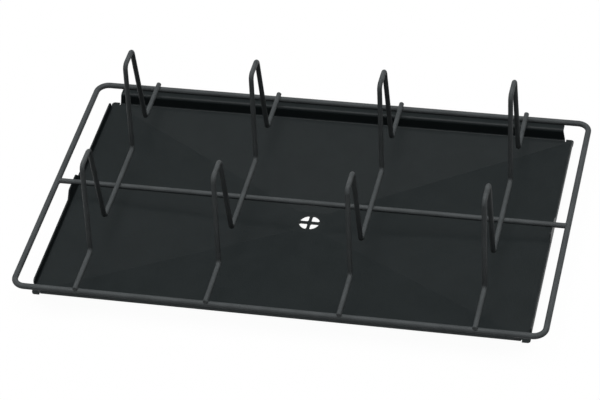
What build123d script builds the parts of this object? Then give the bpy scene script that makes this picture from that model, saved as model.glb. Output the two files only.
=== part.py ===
"""Poultry rack for a combination oven.

A welded wire frame carries a centre rod and a row of spike wires, over a folded drip tray whose
floor falls from all four sides to a drain. Millimetres, +Z up. X runs along the rack and Y from
its front rail to its back rail. The origin is centred under the rack, on the drain's underside.
"""

import os

from build123d import *

# Rack outline, measured over the outside of the rails
rack_length = 530.0
rack_depth = 325.0
rail_diameter = 6.0
rail_corner_radius = 12.0  # centreline of the bend at each corner

# Centre rod and spike wires
centre_rod_diameter = 5.5
spike_wire_diameter = 5.0
spike_columns = 4
spike_rows = 2
spike_height = 98.0  # from the wire's flat run to its top run, centre to centre
spike_base_width = 52.0
spike_top_width = 26.0
spike_bend_radius = 6.0  # centreline of the wire
wire_end_chamfer = 0.6
rail_set_down = 0.5  # how far a welded spike wire sinks into the rails
rod_set_down = 0.25  # and into the centre rod

# Drip tray sheet, its folds and its clearances
sheet = 1.5
bend_radius = 1.5  # inside of every fold
bend_lead = 0.5  # flat strip between the floor's edge and the fold
bend_relief = 1.0  # slot between the end of a fold and the floor's corner
runner_gap = 12.0  # between a short rail and the tray's lip, for the oven's runner
flange_width = 11.0  # from the wall's outer face to the flange's edge, under the rail
flange_chamfer = 3.5
wall_height = 13.0  # from the floor's edge to the top of the flange
wall_end_relief = 9.0  # from the lip's outer face to the foot of the wall
wall_end_slant = 2.0  # how much shorter the wall is at the flange, at each end
lip_height = 8.0  # above the floor's edge
lip_end_relief = 10.0  # from the wall's outer face to the end of the lip
lip_corner_radius = 3.0

# Tab in the middle of each lip, notched for the centre rod
tab_base_width = 38.0
tab_top_width = 24.0
tab_corner_radius = 3.0
tab_below_axis = 0.5  # from the rod's axis down to the top of the tab
notch_clearance = 0.3

# Floor and drain
floor_fall = 10.0
floor_corner_radius = 3.0
drain_flat = 30.0  # side of the level square round the drain
drain_diameter = 21.0
drain_bar = 3.0
drain_corner_radius = 1.5

# Levels
floor_edge_bottom = floor_fall
floor_edge_top = floor_edge_bottom + sheet
flange_top = floor_edge_top + wall_height
rail_level = flange_top + rail_diameter / 2
wire_level = rail_level + rail_diameter / 2 + spike_wire_diameter / 2 - rail_set_down
rod_level = wire_level - spike_wire_diameter / 2 + rod_set_down - centre_rod_diameter / 2
tab_top = rod_level - tab_below_axis
lip_top = floor_edge_top + lip_height

# Plan sizes that follow from the rails
frame_length = rack_length - rail_diameter
frame_depth = rack_depth - rail_diameter
column_pitch = frame_length / spike_columns
row_pitch = frame_depth / spike_rows
tray_length = rack_length - 2 * (rail_diameter + runner_gap)
tray_depth = rack_depth - 2 * flange_width
fold_width = sheet + bend_radius + bend_lead  # from a wall's outer face to the floor's edge
fold_radius = bend_radius + sheet / 2  # middle of the sheet
floor_length = tray_length - 2 * fold_width
floor_depth = tray_depth - 2 * fold_width


# Outer frame: one rod bent into a loop with rounded corners
with BuildPart() as outer_frame:
    with BuildLine(Plane.XY.offset(rail_level)) as frame_loop:
        FilletPolyline(
            (-frame_length / 2, -frame_depth / 2),
            (frame_length / 2, -frame_depth / 2),
            (frame_length / 2, frame_depth / 2),
            (-frame_length / 2, frame_depth / 2),
            radius=rail_corner_radius,
            close=True,
        )
    with BuildSketch(Plane(origin=frame_loop.wire() @ 0, z_dir=frame_loop.wire() % 0)):
        Circle(rail_diameter / 2)
    sweep()

# Centre rod: butted between the short rails, with its ends shaped to them
with BuildPart() as centre_rod:
    with BuildSketch(Plane.YZ):
        with Locations((0, rod_level)):
            Circle(centre_rod_diameter / 2)
    extrude(amount=frame_length / 2, both=True)
    add(outer_frame.part, mode=Mode.SUBTRACT)


def spike_wire_points():
    """Corners of one spike wire in its own upright plane: front end, one spike per row, back end."""
    points = [(-rack_depth / 2, wire_level)]
    for row in range(spike_rows):
        middle = (row - (spike_rows - 1) / 2) * row_pitch
        points.append((middle - spike_base_width / 2, wire_level))
        points.append((middle - spike_top_width / 2, wire_level + spike_height))
        points.append((middle + spike_top_width / 2, wire_level + spike_height))
        points.append((middle + spike_base_width / 2, wire_level))
    points.append((rack_depth / 2, wire_level))
    return points


# Spike wires: bent wires laid across the rails and the centre rod, with a saddle at each weld
spike_wires = []
for column in range(spike_columns):
    column_x = (column - (spike_columns - 1) / 2) * column_pitch
    with BuildPart() as spike_wire:
        with BuildLine(Plane.YZ.offset(column_x)) as wire_line:
            FilletPolyline(*spike_wire_points(), radius=spike_bend_radius)
        with BuildSketch(Plane(origin=wire_line.wire() @ 0, z_dir=wire_line.wire() % 0)):
            Circle(spike_wire_diameter / 2)
        sweep()
        chamfer(spike_wire.faces().filter_by(Axis.Y).edges(), length=wire_end_chamfer)
        add(outer_frame.part, mode=Mode.SUBTRACT)
        add(centre_rod.part, mode=Mode.SUBTRACT)
    spike_wire.part.label = f"spike_wire_{column + 1}"
    spike_wires.append(spike_wire.part)

# Long wall of the tray: folded up from the floor and out into the flange under the rail
with BuildPart() as tray_wall:
    fold_level = floor_edge_bottom + sheet / 2
    flange_level = flange_top - sheet / 2
    wall_middle = tray_depth / 2 - sheet / 2
    with BuildSketch(Plane.YZ):
        with BuildLine():
            FilletPolyline(
                (floor_depth / 2, fold_level),
                (wall_middle, fold_level),
                (wall_middle, flange_level),
                (tray_depth / 2 + flange_width, flange_level),
                radius=fold_radius,
            )
        trace(line_width=sheet)
    wall_foot = tray_length / 2 - wall_end_relief
    extrude(amount=wall_foot, both=True)
    with BuildSketch(Plane.XZ):
        with BuildLine():
            Polyline(
                (-wall_foot, floor_edge_bottom),
                (wall_foot, floor_edge_bottom),
                (wall_foot - wall_end_slant, flange_top),
                (wall_end_slant - wall_foot, flange_top),
                close=True,
            )
        make_face()
    extrude(amount=rack_depth, both=True, mode=Mode.INTERSECT)
    flange_edge = tray_wall.faces().sort_by(Axis.Y)[-1]
    chamfer(flange_edge.edges().filter_by(Axis.X, reverse=True), length=flange_chamfer)

# Short lip of the tray: folded up from the floor, with the notched tab in its middle
with BuildPart() as tray_lip:
    lip_middle = tray_length / 2 - sheet / 2
    with BuildSketch(Plane.XZ):
        with BuildLine():
            FilletPolyline(
                (floor_length / 2, floor_edge_bottom + sheet / 2),
                (lip_middle, floor_edge_bottom + sheet / 2),
                (lip_middle, tab_top),
                radius=fold_radius,
            )
        trace(line_width=sheet)
    lip_end = tray_depth / 2 - lip_end_relief
    extrude(amount=lip_end, both=True)
    with BuildSketch(Plane.YZ) as lip_outline:
        Rectangle(2 * lip_end, lip_top, align=(Align.CENTER, Align.MIN))
        fillet(lip_outline.vertices().group_by(Axis.Y)[-1], radius=lip_corner_radius)
        with BuildLine():
            Polyline(
                (-tab_base_width / 2, lip_top),
                (tab_base_width / 2, lip_top),
                (tab_top_width / 2, tab_top),
                (-tab_top_width / 2, tab_top),
                close=True,
            )
        make_face()
        fillet(lip_outline.vertices().group_by(Axis.Y)[-1], radius=tab_corner_radius)
        with Locations((0, rod_level)):
            Circle(centre_rod_diameter / 2 + notch_clearance, mode=Mode.SUBTRACT)
    extrude(amount=tray_length, both=True, mode=Mode.INTERSECT)

# Drip tray: a floor of four falling planes round a level drain, with its walls and lips
with BuildPart() as drip_tray:
    with BuildSketch(Plane.XY):
        Rectangle(drain_flat, drain_flat)
    with BuildSketch(Plane.XY.offset(floor_edge_bottom)):
        Rectangle(floor_length, floor_depth)
    loft(ruled=True)
    with BuildSketch(Plane.XY.offset(floor_edge_bottom)):
        Rectangle(floor_length, floor_depth)
    extrude(amount=sheet)
    with BuildSketch(Plane.XY.offset(sheet)):
        Rectangle(drain_flat, drain_flat)
    with BuildSketch(Plane.XY.offset(floor_edge_top)):
        Rectangle(floor_length, floor_depth)
    loft(ruled=True, mode=Mode.SUBTRACT)
    add(tray_wall.part)
    mirror(tray_wall.part, about=Plane.XZ)
    add(tray_lip.part)
    mirror(tray_lip.part, about=Plane.YZ)
    # Level corners of the floor, a relief slot away from the end of each wall and each lip
    with BuildSketch(Plane.XY.offset(floor_edge_bottom)) as floor_corners:
        Rectangle(tray_length, tray_depth)
        fillet(floor_corners.vertices(), radius=floor_corner_radius)
        Rectangle(tray_length, 2 * (lip_end + bend_relief), mode=Mode.SUBTRACT)
        Rectangle(2 * (wall_foot + bend_relief), tray_depth, mode=Mode.SUBTRACT)
        Rectangle(floor_length, floor_depth, mode=Mode.SUBTRACT)
    extrude(amount=sheet)
    with BuildSketch(Plane.XY) as drain_holes:
        Circle(drain_diameter / 2)
        Rectangle(drain_diameter, drain_bar, mode=Mode.SUBTRACT)
        Rectangle(drain_bar, drain_diameter, mode=Mode.SUBTRACT)
        fillet(drain_holes.vertices(), radius=drain_corner_radius)
    extrude(amount=sheet, mode=Mode.SUBTRACT)

outer_frame.part.label = "outer_frame"
centre_rod.part.label = "centre_rod"
drip_tray.part.label = "drip_tray"

os.makedirs("parts", exist_ok=True)
export_step(outer_frame.part, "parts/outer_frame.step")
export_step(centre_rod.part, "parts/centre_rod.step")
for wire in spike_wires:
    export_step(wire, f"parts/{wire.label}.step")
export_step(drip_tray.part, "parts/drip_tray.step")
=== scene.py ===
"""Looks of an oven rack: coated wire, an enamelled drip tray, their welds and a studio stage.

Metres, +Z up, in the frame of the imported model. X runs along the rack and Y from its front rail to its
back rail. The rack stands on the floor at Z = 0.
"""

import math

import bmesh
import bpy
from bpy.props import FloatProperty, FloatVectorProperty, IntProperty, PointerProperty
from mathutils import Matrix, Quaternion, Vector


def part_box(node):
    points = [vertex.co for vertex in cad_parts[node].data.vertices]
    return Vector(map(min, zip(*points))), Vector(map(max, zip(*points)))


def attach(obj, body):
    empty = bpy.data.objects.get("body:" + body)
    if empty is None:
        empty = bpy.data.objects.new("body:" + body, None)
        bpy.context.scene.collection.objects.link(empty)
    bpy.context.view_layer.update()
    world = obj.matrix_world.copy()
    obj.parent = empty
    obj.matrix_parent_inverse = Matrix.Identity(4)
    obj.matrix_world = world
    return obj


bl_info = {
    "name": "Oven rack looks",
    "version": (1, 0, 0),
    "blender": (4, 5, 0),
    "location": "3D View > Sidebar > Oven Rack",
    "description": "Finishes, welds and stage of a poultry rack for an oven",
    "category": "Object",
}

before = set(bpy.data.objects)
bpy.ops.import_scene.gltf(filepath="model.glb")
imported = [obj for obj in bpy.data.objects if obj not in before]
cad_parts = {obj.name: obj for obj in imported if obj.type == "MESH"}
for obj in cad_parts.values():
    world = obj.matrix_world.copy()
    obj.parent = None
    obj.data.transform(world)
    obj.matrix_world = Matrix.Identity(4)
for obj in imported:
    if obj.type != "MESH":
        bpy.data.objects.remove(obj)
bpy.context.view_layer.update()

MM = 0.001

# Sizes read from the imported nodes
RAIL_LOW, RAIL_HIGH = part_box("outer_frame")
ROD_LOW, ROD_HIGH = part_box("centre_rod")
TRAY_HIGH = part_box("drip_tray")[1]
SPIKE_NODES = sorted(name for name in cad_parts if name.startswith("spike_wire_"))
SPIKE_BOXES = [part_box(name) for name in SPIKE_NODES]
SPIKE_LOW, SPIKE_HIGH = SPIKE_BOXES[0]
RAIL_RADIUS = (RAIL_HIGH.z - RAIL_LOW.z) / 2
RAIL_LEVEL = (RAIL_HIGH.z + RAIL_LOW.z) / 2
LONG_RAIL_Y = RAIL_HIGH.y - RAIL_RADIUS
SHORT_RAIL_X = RAIL_HIGH.x - RAIL_RADIUS
ROD_RADIUS = (ROD_HIGH.z - ROD_LOW.z) / 2
ROD_LEVEL = (ROD_HIGH.z + ROD_LOW.z) / 2
WIRE_RADIUS = (SPIKE_HIGH.x - SPIKE_LOW.x) / 2
WIRE_LEVEL = SPIKE_LOW.z + WIRE_RADIUS
WIRE_TOP = SPIKE_HIGH.z
WIRE_COLUMNS = [(low.x + high.x) / 2 for low, high in SPIKE_BOXES]

# Sizes of the tray that its box doesn't tell
SHEET = 1.5 * MM
LIP_TOP = 19.5 * MM
LIP_MARGIN = 1.0 * MM  # beside a lip's inner face, where its thin edge still shows
LIP_INNER_X = TRAY_HIGH.x - SHEET - LIP_MARGIN
DRAIN_RADIUS = 10.5 * MM
FLANGE_UNDERSIDE = RAIL_LOW.z - SHEET

# Gloss of the two finishes: their least and greatest roughness, and the level of their mirror part
WIRE_ROUGHNESS = (0.46, 0.56)
WIRE_SPECULAR = 0.1
ENAMEL_ROUGHNESS = (0.47, 0.54)
ENAMEL_SPECULAR = 0.2

# Strength of the ripples, and of the wear under the rails, on the spikes and along cut edges
RIPPLE_STRENGTH = 0.8
RAIL_WEAR = 0.8
SPIKE_WEAR = 0.5
EDGE_WEAR = 0.6
WEAR_END_SLOPE = 10.0  # how fast a worn line ends, past its end

# Patterns of the finishes: octaves of noise, and the noise levels between which they come in
CLOUDS = {"detail": 3.0, "edges": (0.35, 0.65)}
GRAIN = {"detail": 2.0, "edges": (0.3, 0.7)}
DRIFT = {"detail": 2.0, "edges": (0.3, 0.7)}
PATCHES = {"detail": 3.0, "edges": (0.38, 0.62)}
RIPPLE_DETAIL = 1.0
NOISE_ROUGHNESS = 0.5
CLOUD_SHARE = 0.5  # of the change between the two tones, with the rest left to the grain
DRIFT_PER_CLOUD = 2.2  # size of a patch of even gloss, in clouds
PATCH_PER_GRAIN = 9.0  # size of a worn patch, in grains

# Make of the welds
ROUND_SEGMENTS = 28  # round a bead's ring or a spot mark
BEAD_SEGMENTS = 10  # round the bead itself
MARK_SINK = 0.1 * MM  # how far a spot mark reaches into the flange
MARK_TAPER = 0.82  # radius of its underside
MARK_RIM = 0.28  # width of the level rim round its dimple
MARK_SLOPE = 0.2  # width of the dimple's slope, like the two above as a share of the mark's radius
MARK_DIMPLE = 0.5  # depth of the dimple, as a share of the mark's height
MARK_INSET = 0.5 * MM  # from below the rail's middle towards the wall
MERGE_DISTANCE = 1e-6

# Stage
WHITE = (1.0, 1.0, 1.0, 1.0)
PAPER = (0.97, 0.97, 0.97, 1.0)
SENSOR_WIDTH = 36.0  # millimetres

# Sockets that a Mix node uses for colours
MIX_FACTOR, MIX_FIRST, MIX_SECOND = 0, 6, 7
MIX_RESULT = 2


class RackFinishes(bpy.types.PropertyGroup):
    """Colours and textures of the coated wire and the enamelled tray."""

    wire_pale: FloatVectorProperty(
        name="Wire, pale",
        description="Paler tone of the wire's coating",
        subtype="COLOR",
        default=(0.077, 0.0845, 0.087),
        min=0.0,
        max=1.0,
    )
    wire_deep: FloatVectorProperty(
        name="Wire, deep",
        description="Deeper tone of the wire's coating",
        subtype="COLOR",
        default=(0.0565, 0.0625, 0.0645),
        min=0.0,
        max=1.0,
    )
    wire_rubbed: FloatVectorProperty(
        name="Wire, rubbed",
        description="Tone where runners and birds have rubbed the coating thin",
        subtype="COLOR",
        default=(0.110, 0.117, 0.119),
        min=0.0,
        max=1.0,
    )
    enamel_pale: FloatVectorProperty(
        name="Enamel, pale",
        description="Paler tone of the tray's enamel",
        subtype="COLOR",
        default=(0.0112, 0.0153, 0.0162),
        min=0.0,
        max=1.0,
    )
    enamel_deep: FloatVectorProperty(
        name="Enamel, deep",
        description="Deeper tone of the tray's enamel",
        subtype="COLOR",
        default=(0.0093, 0.0129, 0.0136),
        min=0.0,
        max=1.0,
    )
    enamel_thin: FloatVectorProperty(
        name="Enamel, thin",
        description="Tone along cut edges, where the enamel draws back from the steel",
        subtype="COLOR",
        default=(0.027, 0.031, 0.031),
        min=0.0,
        max=1.0,
    )
    cloud_size: FloatProperty(
        name="Cloud size",
        description="Size of the soft patches in a finish",
        unit="LENGTH",
        default=18 * MM,
        min=1 * MM,
    )
    grain_size: FloatProperty(
        name="Grain size",
        description="Size of the fine grain in a finish",
        unit="LENGTH",
        default=0.9 * MM,
        min=0.1 * MM,
    )
    peel_size: FloatProperty(
        name="Orange peel size",
        description="Width of one ripple of a sprayed finish",
        unit="LENGTH",
        default=1.1 * MM,
        min=0.1 * MM,
    )
    peel_depth: FloatProperty(
        name="Orange peel depth",
        description="Depth of the ripples of a sprayed finish",
        unit="LENGTH",
        default=0.14 * MM,
        min=0.0,
    )
    rub_reach: FloatProperty(
        name="Rub reach",
        description="How far wear spreads from the line that is rubbed",
        unit="LENGTH",
        default=1.6 * MM,
        min=0.1 * MM,
    )


class RackWelds(bpy.types.PropertyGroup):
    """Sizes of the beads at the wire crossings and the marks under the tray's flanges."""

    bead_radius: FloatProperty(
        name="Bead radius",
        description="Half the thickness of the bead round a weld",
        unit="LENGTH",
        default=0.6 * MM,
        min=0.1 * MM,
    )
    bead_spread: FloatProperty(
        name="Bead spread",
        description="Half width of a bead, as a share of the wire's radius",
        subtype="FACTOR",
        default=0.76,
        min=0.3,
        max=0.9,
    )
    mark_radius: FloatProperty(
        name="Spot mark radius",
        description="Radius of a spot weld's mark under a flange",
        unit="LENGTH",
        default=3.0 * MM,
        min=0.5 * MM,
    )
    mark_height: FloatProperty(
        name="Spot mark height",
        description="How far a spot weld's mark stands out of the flange",
        unit="LENGTH",
        default=0.3 * MM,
        min=0.05 * MM,
    )
    marks_per_flange: IntProperty(
        name="Marks per flange",
        description="Spot welds along each flange",
        default=5,
        min=2,
        max=12,
    )
    mark_pitch: FloatProperty(
        name="Mark pitch",
        description="Distance between neighbouring spot welds",
        unit="LENGTH",
        default=112 * MM,
        min=10 * MM,
    )


class RackStage(bpy.types.PropertyGroup):
    """Camera, light and floor."""

    camera_place: FloatVectorProperty(
        name="Camera place",
        description="Where the camera stands",
        subtype="TRANSLATION",
        unit="LENGTH",
        default=(0.5373, -1.9336, 1.7396),
    )
    camera_aim: FloatVectorProperty(
        name="Camera aim",
        description="The point in the middle of the picture",
        subtype="TRANSLATION",
        unit="LENGTH",
        default=(-0.0086, 0.0031, 0.0275),
    )
    camera_roll: FloatProperty(
        name="Camera roll",
        description="Turn about the line of sight",
        subtype="ANGLE",
        default=math.radians(-5.24),
    )
    camera_lens: FloatProperty(
        name="Lens",
        description="Focal length on a 36 mm wide sensor",
        subtype="DISTANCE_CAMERA",
        default=158.04,
        min=10.0,
    )
    light_strength: FloatProperty(
        name="Light strength",
        description="Strength of the light over the rack, where pi shows a level white surface as white",
        default=3.0,
        min=0.0,
    )
    light_spread: FloatProperty(
        name="Light spread",
        description="Angle across the light over the rack, seen from the rack",
        subtype="ANGLE",
        default=math.radians(60),
        min=0.0,
        max=math.pi,
    )
    fill_share: FloatProperty(
        name="Fill share",
        description="Share of the light over the rack that casts no shadow",
        subtype="FACTOR",
        default=0.9,
        min=0.0,
        max=1.0,
    )
    ambient: FloatProperty(
        name="Ambient",
        description="Brightness of the room's even light",
        subtype="FACTOR",
        default=0.08,
        min=0.0,
        max=1.0,
    )
    backdrop_height: FloatProperty(
        name="Backdrop height",
        description="How high the white backdrop reaches in reflections, as an angle above the floor",
        subtype="ANGLE",
        default=math.radians(10),
        min=0.0,
        max=math.pi / 2,
    )
    backdrop_fade: FloatProperty(
        name="Backdrop fade",
        description="Half the angle over which the backdrop fades into the ceiling",
        subtype="ANGLE",
        default=math.radians(6),
        min=0.0,
        max=math.pi / 4,
    )
    floor_size: FloatProperty(
        name="Floor size",
        description="Side of the floor",
        unit="LENGTH",
        default=24.0,
        min=1.0,
    )
    floor_bounce: FloatProperty(
        name="Floor bounce",
        description="Share of its light that the floor sends back up onto the rack",
        subtype="FACTOR",
        default=0.25,
        min=0.0,
        max=1.0,
    )
    floor_glow: FloatProperty(
        name="Floor glow",
        description="Share of the floor's white that shadows leave alone",
        subtype="FACTOR",
        default=0.85,
        min=0.0,
        max=1.0,
    )


def add_node(tree, kind, inputs=None, **settings):
    """A node with its settings, and its inputs set to values or linked to sockets."""
    made = tree.nodes.new(kind)
    for key, value in settings.items():
        setattr(made, key, value)
    for key, value in (inputs or {}).items():
        if isinstance(value, bpy.types.NodeSocket):
            tree.links.new(value, made.inputs[key])
        else:
            made.inputs[key].default_value = value
    return made


def place_group(tree, group, inputs):
    """Outputs of a group that is placed in a material with its own inputs."""
    return add_node(tree, "ShaderNodeGroup", inputs, node_tree=group).outputs


def calculate(tree, operation, first, second=0.0):
    """Output of one Math node."""
    return add_node(tree, "ShaderNodeMath", {0: first, 1: second}, operation=operation).outputs[0]


def ramp(tree, value, low, high, start=0.0, end=1.0):
    """A smooth step from start to end, while the value goes from low to high."""
    inputs = {"Value": value, "From Min": low, "From Max": high, "To Min": start, "To Max": end}
    step = add_node(tree, "ShaderNodeMapRange", inputs, interpolation_type="SMOOTHSTEP")
    return step.outputs["Result"]


def mix_colors(tree, factor, first, second):
    """Output of one colour Mix node: first at factor 0, second at factor 1."""
    inputs = {MIX_FACTOR: factor, MIX_FIRST: first, MIX_SECOND: second}
    return add_node(tree, "ShaderNodeMix", inputs, data_type="RGBA").outputs[MIX_RESULT]


def noise(tree, vector, size, detail):
    """Noise whose features are about as large as the size, in metres."""
    scale = calculate(tree, "DIVIDE", 1.0, size)
    inputs = {"Vector": vector, "Scale": scale, "Detail": detail, "Roughness": NOISE_ROUGHNESS}
    return add_node(tree, "ShaderNodeTexNoise", inputs).outputs["Fac"]


def pattern(tree, make, vector, size, start=0.0, end=1.0):
    """Noise of one make, which goes from start to end between the make's two levels."""
    low, high = make["edges"]
    return ramp(tree, noise(tree, vector, size, make["detail"]), low, high, start, end)


def new_group(name, inputs, outputs):
    """An empty shader group with named sockets: its tree, its input sockets and its output node."""
    tree = bpy.data.node_groups.new(name, "ShaderNodeTree")
    for label, kind in inputs:
        tree.interface.new_socket(name=label, in_out="INPUT", socket_type=kind)
    for label, kind in outputs:
        tree.interface.new_socket(name=label, in_out="OUTPUT", socket_type=kind)
    entry = tree.nodes.new("NodeGroupInput")
    return tree, entry.outputs, tree.nodes.new("NodeGroupOutput")


def finish_clouds():
    """Group: two tones of one finish, mixed in soft patches and a fine grain."""
    name = "finish_clouds"
    if name in bpy.data.node_groups:
        return bpy.data.node_groups[name]
    tree, given, result = new_group(
        name,
        [
            ("Vector", "NodeSocketVector"),
            ("Deep", "NodeSocketColor"),
            ("Pale", "NodeSocketColor"),
            ("Cloud Size", "NodeSocketFloat"),
            ("Grain Size", "NodeSocketFloat"),
        ],
        [("Color", "NodeSocketColor")],
    )
    clouds = pattern(tree, CLOUDS, given["Vector"], given["Cloud Size"], end=CLOUD_SHARE)
    grain = pattern(tree, GRAIN, given["Vector"], given["Grain Size"], end=1.0 - CLOUD_SHARE)
    mask = calculate(tree, "ADD", clouds, grain)
    tree.links.new(mix_colors(tree, mask, given["Deep"], given["Pale"]), result.inputs["Color"])
    return tree


def orange_peel():
    """Group: the ripples of a sprayed finish, and a roughness that drifts over the surface."""
    name = "orange_peel"
    if name in bpy.data.node_groups:
        return bpy.data.node_groups[name]
    tree, given, result = new_group(
        name,
        [
            ("Vector", "NodeSocketVector"),
            ("Ripple Size", "NodeSocketFloat"),
            ("Drift Size", "NodeSocketFloat"),
            ("Smooth", "NodeSocketFloat"),
            ("Rough", "NodeSocketFloat"),
        ],
        [("Height", "NodeSocketFloat"), ("Roughness", "NodeSocketFloat")],
    )
    ripples = noise(tree, given["Vector"], given["Ripple Size"], RIPPLE_DETAIL)
    drift = pattern(tree, DRIFT, given["Vector"], given["Drift Size"], given["Smooth"], given["Rough"])
    tree.links.new(ripples, result.inputs["Height"])
    tree.links.new(drift, result.inputs["Roughness"])
    return tree


def rubbed_patches():
    """Group: a broken band of wear that fades with the distance from a line."""
    name = "rubbed_patches"
    if name in bpy.data.node_groups:
        return bpy.data.node_groups[name]
    tree, given, result = new_group(
        name,
        [
            ("Vector", "NodeSocketVector"),
            ("Distance", "NodeSocketFloat"),
            ("Reach", "NodeSocketFloat"),
            ("Patch Size", "NodeSocketFloat"),
            ("Strength", "NodeSocketFloat"),
        ],
        [("Mask", "NodeSocketFloat")],
    )
    band = ramp(tree, given["Distance"], 0.0, given["Reach"], given["Strength"], 0.0)
    patches = pattern(tree, PATCHES, given["Vector"], given["Patch Size"])
    tree.links.new(calculate(tree, "MULTIPLY", band, patches), result.inputs["Mask"])
    return tree


def opaque(color):
    """A colour with full alpha."""
    return (*color, 1.0)


def new_material(name):
    """A new material, its tree, its Principled shader, the place on the piece and that place's axes."""
    material = bpy.data.materials.new(name)
    material.use_nodes = True
    tree = material.node_tree
    shader = tree.nodes["Principled BSDF"]
    place = add_node(tree, "ShaderNodeTexCoord").outputs["Object"]
    axes = add_node(tree, "ShaderNodeSeparateXYZ", {"Vector": place}).outputs
    return material, tree, shader, place, axes


def finish_material(name, tones, roughness, specular, wear_distance, wear_strength):
    """A sprayed finish in three tones: deep, pale, and the one where it is rubbed or drawn thin."""
    sizes = bpy.context.scene.rack_finishes
    deep, pale, worn = tones
    smooth, rough = roughness
    material, tree, shader, place, axes = new_material(name)
    clouds = place_group(
        tree,
        finish_clouds(),
        {
            "Vector": place,
            "Deep": opaque(deep),
            "Pale": opaque(pale),
            "Cloud Size": sizes.cloud_size,
            "Grain Size": sizes.grain_size,
        },
    )
    peel = place_group(
        tree,
        orange_peel(),
        {
            "Vector": place,
            "Ripple Size": sizes.peel_size,
            "Drift Size": DRIFT_PER_CLOUD * sizes.cloud_size,
            "Smooth": smooth,
            "Rough": rough,
        },
    )
    rubbed = place_group(
        tree,
        rubbed_patches(),
        {
            "Vector": place,
            "Distance": wear_distance(tree, axes),
            "Reach": sizes.rub_reach,
            "Patch Size": PATCH_PER_GRAIN * sizes.grain_size,
            "Strength": wear_strength,
        },
    )
    color = mix_colors(tree, rubbed["Mask"], clouds["Color"], opaque(worn))
    tree.links.new(color, shader.inputs["Base Color"])
    tree.links.new(peel["Roughness"], shader.inputs["Roughness"])
    shader.inputs["Specular IOR Level"].default_value = specular
    bump = add_node(
        tree,
        "ShaderNodeBump",
        {"Height": peel["Height"], "Strength": RIPPLE_STRENGTH, "Distance": sizes.peel_depth},
    )
    tree.links.new(bump.outputs["Normal"], shader.inputs["Normal"])
    return material


def short_of(tree, value, limit):
    """Distance that ends a worn line where the value falls short of the limit, and is 0 past it."""
    short = calculate(tree, "MAXIMUM", calculate(tree, "SUBTRACT", limit, value), 0.0)
    return calculate(tree, "MULTIPLY", short, WEAR_END_SLOPE)


def runner_line(tree, axes):
    """Distance above the underside of the short rails, which slide in the oven's runners."""
    above = calculate(tree, "SUBTRACT", axes["Z"], RAIL_LOW.z)
    sideways = calculate(tree, "ABSOLUTE", axes["X"])
    return calculate(tree, "ADD", above, short_of(tree, sideways, SHORT_RAIL_X - RAIL_RADIUS))


def spike_tip(tree, axes):
    """Distance below the top of the spikes."""
    return calculate(tree, "SUBTRACT", WIRE_TOP, axes["Z"])


def cut_edges(tree, axes):
    """Distance from the tray's nearest cut edge: a lip's top, a flange's edge or the drain's rim."""
    sideways = calculate(tree, "ABSOLUTE", axes["X"])
    depth = calculate(tree, "ABSOLUTE", axes["Y"])
    below_lip = calculate(tree, "ABSOLUTE", calculate(tree, "SUBTRACT", LIP_TOP, axes["Z"]))
    lip = calculate(tree, "ADD", below_lip, short_of(tree, sideways, LIP_INNER_X))
    flange = calculate(tree, "SUBTRACT", TRAY_HIGH.y, depth)
    squares = [calculate(tree, "MULTIPLY", side, side) for side in (sideways, depth)]
    radius = calculate(tree, "SQRT", calculate(tree, "ADD", *squares))
    drain = calculate(tree, "ABSOLUTE", calculate(tree, "SUBTRACT", radius, DRAIN_RADIUS))
    return calculate(tree, "MINIMUM", calculate(tree, "MINIMUM", lip, flange), drain)


def add_to_scene(name, data):
    """A new object of the scene."""
    made = bpy.data.objects.new(name, data)
    bpy.context.scene.collection.objects.link(made)
    return made


def give_material(piece, material):
    """The one material of a piece."""
    piece.data.materials.clear()
    piece.data.materials.append(material)


def coat(nodes, material):
    """Puts a finish on CAD nodes, in the slots that they have."""
    for name in nodes:
        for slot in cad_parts[name].material_slots:
            slot.material = material


def new_piece(name, bm, material):
    """A finished piece from a bmesh, smooth, riding on the rack."""
    bmesh.ops.remove_doubles(bm, verts=bm.verts, dist=MERGE_DISTANCE)
    bmesh.ops.recalc_face_normals(bm, faces=bm.faces)
    mesh = bpy.data.meshes.new(name)
    bm.to_mesh(mesh)
    bm.free()
    mesh.polygons.foreach_set("use_smooth", [True] * len(mesh.polygons))
    piece = add_to_scene(name, mesh)
    give_material(piece, material)
    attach(piece, "root")


class RACK_OT_coat_frame(bpy.types.Operator):
    """Coats the outer frame and the centre rod, with wear under the rails that slide"""

    bl_idname = "rack.coat_frame"
    bl_label = "Coat frame"

    def execute(self, context):
        tones = context.scene.rack_finishes
        material = finish_material(
            "rail_coating",
            (tones.wire_deep, tones.wire_pale, tones.wire_rubbed),
            WIRE_ROUGHNESS,
            WIRE_SPECULAR,
            runner_line,
            RAIL_WEAR,
        )
        coat(("outer_frame", "centre_rod"), material)
        return {"FINISHED"}


class RACK_OT_coat_spikes(bpy.types.Operator):
    """Coats the spike wires, with wear on the tops of the spikes"""

    bl_idname = "rack.coat_spikes"
    bl_label = "Coat spikes"

    def execute(self, context):
        tones = context.scene.rack_finishes
        material = finish_material(
            "spike_coating",
            (tones.wire_deep, tones.wire_pale, tones.wire_rubbed),
            WIRE_ROUGHNESS,
            WIRE_SPECULAR,
            spike_tip,
            SPIKE_WEAR,
        )
        coat(SPIKE_NODES, material)
        return {"FINISHED"}


class RACK_OT_enamel_tray(bpy.types.Operator):
    """Enamels the drip tray, thin along its cut edges"""

    bl_idname = "rack.enamel_tray"
    bl_label = "Enamel tray"

    def execute(self, context):
        tones = context.scene.rack_finishes
        material = finish_material(
            "tray_enamel",
            (tones.enamel_deep, tones.enamel_pale, tones.enamel_thin),
            ENAMEL_ROUGHNESS,
            ENAMEL_SPECULAR,
            cut_edges,
            EDGE_WEAR,
        )
        coat(("drip_tray",), material)
        return {"FINISHED"}


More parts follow.
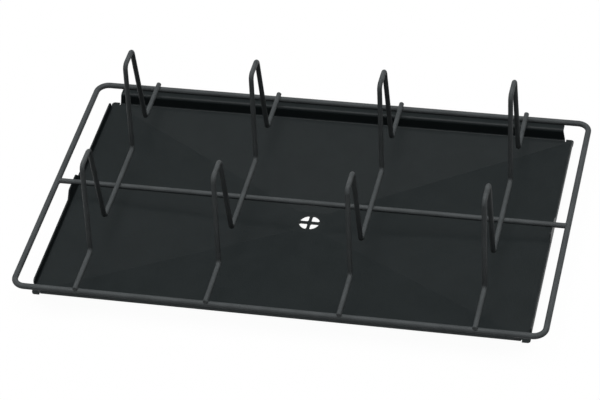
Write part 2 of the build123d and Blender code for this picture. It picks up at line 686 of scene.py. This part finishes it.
def bead_ring(bm, reach, bead_radius, height_at, matrix):
    """A ring of weld round a joint: a torus of radius 1, brought to its reach and bent to a height."""
    before = set(bm.verts)
    upright = Matrix.Translation((1.0, 0, 0)) @ Matrix.Rotation(math.pi / 2, 4, "X")
    bmesh.ops.create_circle(bm, radius=bead_radius, segments=BEAD_SEGMENTS, matrix=upright)
    outline = [vert for vert in bm.verts if vert not in before]
    outline += [edge for edge in bm.edges if edge.verts[0] not in before]
    bmesh.ops.spin(
        bm,
        geom=outline,
        cent=(0, 0, 0),
        axis=(0, 0, 1),
        angle=2 * math.pi,
        steps=ROUND_SEGMENTS,
        use_merge=True,
    )
    verts = [vert for vert in bm.verts if vert not in before]
    for vert in verts:
        around = Vector((vert.co.x, vert.co.y, 0)).normalized()
        middle = Vector((around.x * reach[0], around.y * reach[1], 0))
        outwards = (vert.co.xy.length - 1.0) * around
        lift = Vector((0, 0, vert.co.z + height_at(middle.x, middle.y)))
        vert.co = middle + outwards + lift
    bmesh.ops.transform(bm, matrix=matrix, verts=verts)


def round_height(radius, sideways):
    """Height of a round wire's surface over its axis, at a distance to the side."""
    return math.sqrt(max(radius * radius - sideways * sideways, 0.0))


def crossing_bead(bm, x, y, lower_radius, lower_level, welds):
    """The bead where a spike wire lies across a rail or the centre rod."""

    def halfway(dx, dy):
        under = WIRE_LEVEL - round_height(WIRE_RADIUS, dx)
        over = lower_level + round_height(lower_radius, dy)
        return (under + over) / 2

    reach = (welds.bead_spread * WIRE_RADIUS, welds.bead_spread * lower_radius)
    bead_ring(bm, reach, welds.bead_radius, halfway, Matrix.Translation((x, y, 0)))


def butt_bead(bm, side, welds):
    """The bead round an end of the centre rod, on the short rail that it meets."""

    def rail_face(dz, dy):
        return round_height(RAIL_RADIUS, dz)

    towards_middle = Matrix.Rotation(-side * math.pi / 2, 4, "Y")
    place = Matrix.Translation((side * SHORT_RAIL_X, 0, ROD_LEVEL)) @ towards_middle
    bead_ring(bm, (ROD_RADIUS, ROD_RADIUS), welds.bead_radius, rail_face, place)


class RACK_OT_weld_wires(bpy.types.Operator):
    """Lays a bead round every weld between two wires"""

    bl_idname = "rack.weld_wires"
    bl_label = "Weld wires"

    def execute(self, context):
        welds = context.scene.rack_welds
        bm = bmesh.new()
        for x in WIRE_COLUMNS:
            crossing_bead(bm, x, -LONG_RAIL_Y, RAIL_RADIUS, RAIL_LEVEL, welds)
            crossing_bead(bm, x, 0.0, ROD_RADIUS, ROD_LEVEL, welds)
            crossing_bead(bm, x, LONG_RAIL_Y, RAIL_RADIUS, RAIL_LEVEL, welds)
        for side in (-1, 1):
            butt_bead(bm, side, welds)
        new_piece("weld_beads", bm, bpy.data.materials["spike_coating"])
        return {"FINISHED"}


def spot_mark(bm, x, y, welds):
    """One spot weld's mark: a low round pad under a flange, with a shallow dimple."""
    depth = welds.mark_height + MARK_SINK
    middle = Matrix.Translation((x, y, FLANGE_UNDERSIDE + MARK_SINK - depth / 2))
    made = bmesh.ops.create_cone(
        bm,
        cap_ends=True,
        segments=ROUND_SEGMENTS,
        radius1=welds.mark_radius,
        radius2=MARK_TAPER * welds.mark_radius,
        depth=depth,
        matrix=middle @ Matrix.Rotation(math.pi, 4, "X"),
    )
    low = min(vert.co.z for vert in made["verts"])
    rim = [vert for vert in made["verts"] if vert.co.z < low + MERGE_DISTANCE]
    face = next(face for face in rim[0].link_faces if all(vert in rim for vert in face.verts))
    for width, rise in ((MARK_RIM, 0.0), (MARK_SLOPE, -MARK_DIMPLE)):
        bmesh.ops.inset_region(
            bm,
            faces=[face],
            thickness=width * welds.mark_radius,
            depth=rise * welds.mark_height,
            use_even_offset=True,
        )


class RACK_OT_mark_flanges(bpy.types.Operator):
    """Puts the marks of the spot welds under the tray's flanges, below the long rails"""

    bl_idname = "rack.mark_flanges"
    bl_label = "Mark flanges"

    def execute(self, context):
        welds = context.scene.rack_welds
        bm = bmesh.new()
        for side in (-1, 1):
            for index in range(welds.marks_per_flange):
                x = (index - (welds.marks_per_flange - 1) / 2) * welds.mark_pitch
                spot_mark(bm, x, side * (LONG_RAIL_Y - MARK_INSET), welds)
        new_piece("spot_weld_marks", bm, bpy.data.materials["tray_enamel"])
        return {"FINISHED"}


def seen_directly(tree, mirrored=1.0):
    """1 for rays from the camera, a share by way of gloss or glass, and 0 for light on a surface."""
    path = add_node(tree, "ShaderNodeLightPath").outputs
    by_way = calculate(tree, "MAXIMUM", path["Is Glossy Ray"], path["Is Transmission Ray"])
    by_way = calculate(tree, "MULTIPLY", by_way, mirrored)
    return calculate(tree, "MAXIMUM", path["Is Camera Ray"], by_way)


def mix_shaders(tree, factor, first, second):
    """Output of one Mix Shader node: first at factor 0, second at factor 1."""
    return add_node(tree, "ShaderNodeMixShader", {0: factor, 1: first, 2: second}).outputs[0]


def floor_material(stage):
    """White floor that keeps a faint shadow, and lets the view through from below."""
    material = bpy.data.materials.new("studio_floor")
    material.use_nodes = True
    tree = material.node_tree
    tree.nodes.clear()
    paper = add_node(tree, "ShaderNodeBsdfDiffuse", {"Color": PAPER}).outputs[0]
    glow = add_node(tree, "ShaderNodeEmission", {"Color": WHITE, "Strength": 1.0}).outputs[0]
    white = mix_shaders(tree, stage.floor_glow, paper, glow)
    bounce = opaque([stage.floor_bounce] * 3)
    dull = add_node(tree, "ShaderNodeBsdfDiffuse", {"Color": bounce}).outputs[0]
    above = mix_shaders(tree, seen_directly(tree), dull, white)
    clear = add_node(tree, "ShaderNodeBsdfTransparent").outputs[0]
    from_below = add_node(tree, "ShaderNodeNewGeometry").outputs["Backfacing"]
    whole = mix_shaders(tree, from_below, above, clear)
    add_node(tree, "ShaderNodeOutputMaterial", {"Surface": whole})
    return material


def studio_world(stage):
    """A white room to look at, dim overhead in reflections, whose light on the rack is weak and even."""
    world = bpy.data.worlds.new("studio_room")
    world.use_nodes = True
    tree = world.node_tree
    tree.nodes.clear()
    direction = add_node(tree, "ShaderNodeTexCoord").outputs["Generated"]
    height = add_node(tree, "ShaderNodeSeparateXYZ", {"Vector": direction}).outputs["Z"]
    wall_foot = math.sin(stage.backdrop_height - stage.backdrop_fade)
    wall_head = math.sin(stage.backdrop_height + stage.backdrop_fade)
    backdrop = ramp(tree, height, wall_foot, wall_head, 1.0, 0.0)
    room = add_node(tree, "ShaderNodeBackground", {"Color": WHITE, "Strength": stage.ambient}).outputs[0]
    white = add_node(tree, "ShaderNodeBackground", {"Color": WHITE, "Strength": 1.0}).outputs[0]
    whole = mix_shaders(tree, seen_directly(tree, backdrop), room, white)
    add_node(tree, "ShaderNodeOutputWorld", {"Surface": whole})
    return world


def lay_floor(stage):
    """The floor under the rack, which isn't a part of it."""
    bm = bmesh.new()
    bmesh.ops.create_grid(bm, x_segments=1, y_segments=1, size=stage.floor_size / 2)
    mesh = bpy.data.meshes.new("studio_floor")
    bm.to_mesh(mesh)
    bm.free()
    floor = add_to_scene("studio_floor", mesh)
    give_material(floor, floor_material(stage))


def hang_lights(stage):
    """Soft light from straight above, in two lamps: one casts shadows and the other doesn't."""
    lamps = (
        ("overhead_light", 1.0 - stage.fill_share, True),
        ("fill_light", stage.fill_share, False),
    )
    for name, share, shadow in lamps:
        lamp = bpy.data.lights.new(name, "SUN")
        lamp.energy = share * stage.light_strength
        lamp.angle = stage.light_spread
        lamp.use_shadow = shadow
        add_to_scene(name, lamp)


def place_camera(stage):
    """The camera, which looks at its aim and is rolled about its line of sight."""
    view = bpy.data.cameras.new("camera")
    view.sensor_width = SENSOR_WIDTH
    view.lens = stage.camera_lens
    camera = add_to_scene("camera", view)
    sight = Vector(stage.camera_aim) - Vector(stage.camera_place)
    roll = Quaternion((0, 0, 1), stage.camera_roll)
    camera.rotation_mode = "QUATERNION"
    camera.rotation_quaternion = sight.to_track_quat("-Z", "Y") @ roll
    camera.location = stage.camera_place
    bpy.context.scene.camera = camera


class RACK_OT_set_stage(bpy.types.Operator):
    """Sets up the floor, the light, the room and the camera"""

    bl_idname = "rack.set_stage"
    bl_label = "Set stage"

    def execute(self, context):
        scene = context.scene
        stage = scene.rack_stage
        scene.view_settings.view_transform = "Standard"
        scene.world = studio_world(stage)
        lay_floor(stage)
        hang_lights(stage)
        place_camera(stage)
        return {"FINISHED"}


GROUPS = (
    (RackFinishes, "rack_finishes"),
    (RackWelds, "rack_welds"),
    (RackStage, "rack_stage"),
)
OPERATORS = (
    RACK_OT_coat_frame,
    RACK_OT_coat_spikes,
    RACK_OT_enamel_tray,
    RACK_OT_weld_wires,
    RACK_OT_mark_flanges,
    RACK_OT_set_stage,
)


class RACK_PT_looks(bpy.types.Panel):
    """Lists the steps that dress the rack, and their sizes and colours"""

    bl_idname = "RACK_PT_looks"
    bl_label = "Oven Rack"
    bl_space_type = "VIEW_3D"
    bl_region_type = "UI"
    bl_category = "Oven Rack"

    def draw(self, context):
        for operator in OPERATORS:
            self.layout.operator(operator.bl_idname)
        for group, place in GROUPS:
            box = self.layout.box()
            for name in group.__annotations__:
                box.prop(getattr(context.scene, place), name)


def register():
    """Adds the sizes and colours to every scene, and the steps and the panel to Blender."""
    for group, name in GROUPS:
        bpy.utils.register_class(group)
        setattr(bpy.types.Scene, name, PointerProperty(type=group))
    for cls in (*OPERATORS, RACK_PT_looks):
        bpy.utils.register_class(cls)


def unregister():
    """Takes out what register adds, in the opposite order."""
    for cls in reversed((*OPERATORS, RACK_PT_looks)):
        bpy.utils.unregister_class(cls)
    for group, name in reversed(GROUPS):
        delattr(bpy.types.Scene, name)
        bpy.utils.unregister_class(group)


def main():
    """Dresses the rack, sets the stage and keeps the sizes."""
    register()
    bpy.ops.rack.coat_frame()
    bpy.ops.rack.coat_spikes()
    bpy.ops.rack.enamel_tray()
    bpy.ops.rack.weld_wires()
    bpy.ops.rack.mark_flanges()
    bpy.ops.rack.set_stage()


if __name__ == "__main__":
    main()
